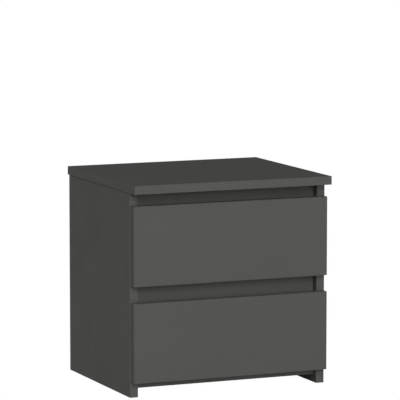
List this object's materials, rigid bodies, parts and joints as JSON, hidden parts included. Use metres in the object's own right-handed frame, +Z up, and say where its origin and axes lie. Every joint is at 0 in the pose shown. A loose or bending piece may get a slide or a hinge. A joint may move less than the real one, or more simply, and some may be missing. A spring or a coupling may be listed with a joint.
{
  "type": "nightstand",
  "caption": "Small bedside cabinet in dark grey laminated board with flush handleless drawers pulled by the gaps above them, on roller runners.",
  "frame": {"origin": "on the floor under the middle of the cabinet's bounding box", "axes": "+X to the viewer's right when facing the drawers, -Y out of the front where the drawers open, +Z up"},
  "size_m": [0.4, 0.35, 0.4],
  "materials": {
    "graphite_laminate": "fine-textured matt melamine on chipboard, edges banded in the same colour",
    "drawer_box_laminate": "smooth satin melamine on chipboard, upper edges banded",
    "hardboard_back": "raw brown hardboard",
    "hardboard_drawer_bottom": "white lacquered hardboard",
    "runner_steel": "satin epoxy coat",
    "roller_nylon": "moulded nylon",
    "rivet_steel": "zinc-plated rivet",
    "bolt_steel": "zinc-plated",
    "cam_zinc": "die-cast zinc, tumbled"
  },
  "bodies": {
    "carcass": {"top_panel": "graphite_laminate", "left_side_panel": "graphite_laminate", "right_side_panel": "graphite_laminate", "bottom_panel": "graphite_laminate", "back_panel": "hardboard_back", "upper_rail": "graphite_laminate", "middle_rail": "graphite_laminate", "top_cam_left_front": "cam_zinc", "top_bolt_left_front": "bolt_steel", "bottom_cam_left_front": "cam_zinc", "bottom_bolt_left_front": "bolt_steel", "top_cam_left_rear": "cam_zinc", "top_bolt_left_rear": "bolt_steel", "bottom_cam_left_rear": "cam_zinc", "bottom_bolt_left_rear": "bolt_steel", "top_cam_right_front": "cam_zinc", "top_bolt_right_front": "bolt_steel", "bottom_cam_right_front": "cam_zinc", "bottom_bolt_right_front": "bolt_steel", "top_cam_right_rear": "cam_zinc", "top_bolt_right_rear": "bolt_steel", "bottom_cam_right_rear": "cam_zinc", "bottom_bolt_right_rear": "bolt_steel", "upper_left_cabinet_runner": "runner_steel", "upper_left_front_roller_pin": "rivet_steel", "upper_right_cabinet_runner": "runner_steel", "upper_right_front_roller_pin": "rivet_steel", "lower_left_cabinet_runner": "runner_steel", "lower_left_front_roller_pin": "rivet_steel", "lower_right_cabinet_runner": "runner_steel", "lower_right_front_roller_pin": "rivet_steel"},
    "upper_drawer": {"upper_drawer_front": "graphite_laminate", "upper_drawer_left_side": "drawer_box_laminate", "upper_drawer_right_side": "drawer_box_laminate", "upper_drawer_back": "drawer_box_laminate", "upper_drawer_bottom": "hardboard_drawer_bottom", "upper_left_drawer_runner": "runner_steel", "upper_left_rear_roller_pin": "rivet_steel", "upper_right_drawer_runner": "runner_steel", "upper_right_rear_roller_pin": "rivet_steel"},
    "upper_left_front_roller": {"upper_left_front_roller": "roller_nylon"},
    "upper_left_rear_roller": {"upper_left_rear_roller": "roller_nylon"},
    "upper_right_front_roller": {"upper_right_front_roller": "roller_nylon"},
    "upper_right_rear_roller": {"upper_right_rear_roller": "roller_nylon"},
    "lower_drawer": {"lower_drawer_front": "graphite_laminate", "lower_drawer_left_side": "drawer_box_laminate", "lower_drawer_right_side": "drawer_box_laminate", "lower_drawer_back": "drawer_box_laminate", "lower_drawer_bottom": "hardboard_drawer_bottom", "lower_left_drawer_runner": "runner_steel", "lower_left_rear_roller_pin": "rivet_steel", "lower_right_drawer_runner": "runner_steel", "lower_right_rear_roller_pin": "rivet_steel"},
    "lower_left_front_roller": {"lower_left_front_roller": "roller_nylon"},
    "lower_left_rear_roller": {"lower_left_rear_roller": "roller_nylon"},
    "lower_right_front_roller": {"lower_right_front_roller": "roller_nylon"},
    "lower_right_rear_roller": {"lower_right_rear_roller": "roller_nylon"}
  },
  "joints": [
    {"name": "upper_drawer_slide", "type": "slide", "parent": "carcass", "child": "upper_drawer", "axis": [0, -1, 0], "range_m": [0, 0.225]},
    {"name": "upper_left_front_roller_spin", "type": "hinge", "parent": "carcass", "child": "upper_left_front_roller", "pos_m": [-0.1765, -0.13, 0.2314], "axis": [1, 0, 0], "range_deg": [0, 1230]},
    {"name": "upper_left_rear_roller_spin", "type": "hinge", "parent": "upper_drawer", "child": "upper_left_rear_roller", "pos_m": [-0.177, 0.14, 0.2286], "axis": [1, 0, 0], "range_deg": [0, 1230]},
    {"name": "upper_right_front_roller_spin", "type": "hinge", "parent": "carcass", "child": "upper_right_front_roller", "pos_m": [0.1765, -0.13, 0.2314], "axis": [1, 0, 0], "range_deg": [0, 1230]},
    {"name": "upper_right_rear_roller_spin", "type": "hinge", "parent": "upper_drawer", "child": "upper_right_rear_roller", "pos_m": [0.177, 0.14, 0.2286], "axis": [1, 0, 0], "range_deg": [0, 1230]},
    {"name": "lower_drawer_slide", "type": "slide", "parent": "carcass", "child": "lower_drawer", "axis": [0, -1, 0], "range_m": [0, 0.225]},
    {"name": "lower_left_front_roller_spin", "type": "hinge", "parent": "carcass", "child": "lower_left_front_roller", "pos_m": [-0.1765, -0.13, 0.0499], "axis": [1, 0, 0], "range_deg": [0, 1230]},
    {"name": "lower_left_rear_roller_spin", "type": "hinge", "parent": "lower_drawer", "child": "lower_left_rear_roller", "pos_m": [-0.177, 0.14, 0.0471], "axis": [1, 0, 0], "range_deg": [0, 1230]},
    {"name": "lower_right_front_roller_spin", "type": "hinge", "parent": "carcass", "child": "lower_right_front_roller", "pos_m": [0.1765, -0.13, 0.0499], "axis": [1, 0, 0], "range_deg": [0, 1230]},
    {"name": "lower_right_rear_roller_spin", "type": "hinge", "parent": "lower_drawer", "child": "lower_right_rear_roller", "pos_m": [0.177, 0.14, 0.0471], "axis": [1, 0, 0], "range_deg": [0, 1230]}
  ],
  "couplings": [
    {"joint": "upper_left_front_roller_spin", "follows": "upper_drawer_slide", "rad_per_m": 95.238},
    {"joint": "upper_left_rear_roller_spin", "follows": "upper_drawer_slide", "rad_per_m": 95.238},
    {"joint": "upper_right_front_roller_spin", "follows": "upper_drawer_slide", "rad_per_m": 95.238},
    {"joint": "upper_right_rear_roller_spin", "follows": "upper_drawer_slide", "rad_per_m": 95.238},
    {"joint": "lower_left_front_roller_spin", "follows": "lower_drawer_slide", "rad_per_m": 95.238},
    {"joint": "lower_left_rear_roller_spin", "follows": "lower_drawer_slide", "rad_per_m": 95.238},
    {"joint": "lower_right_front_roller_spin", "follows": "lower_drawer_slide", "rad_per_m": 95.238},
    {"joint": "lower_right_rear_roller_spin", "follows": "lower_drawer_slide", "rad_per_m": 95.238}
  ]
}
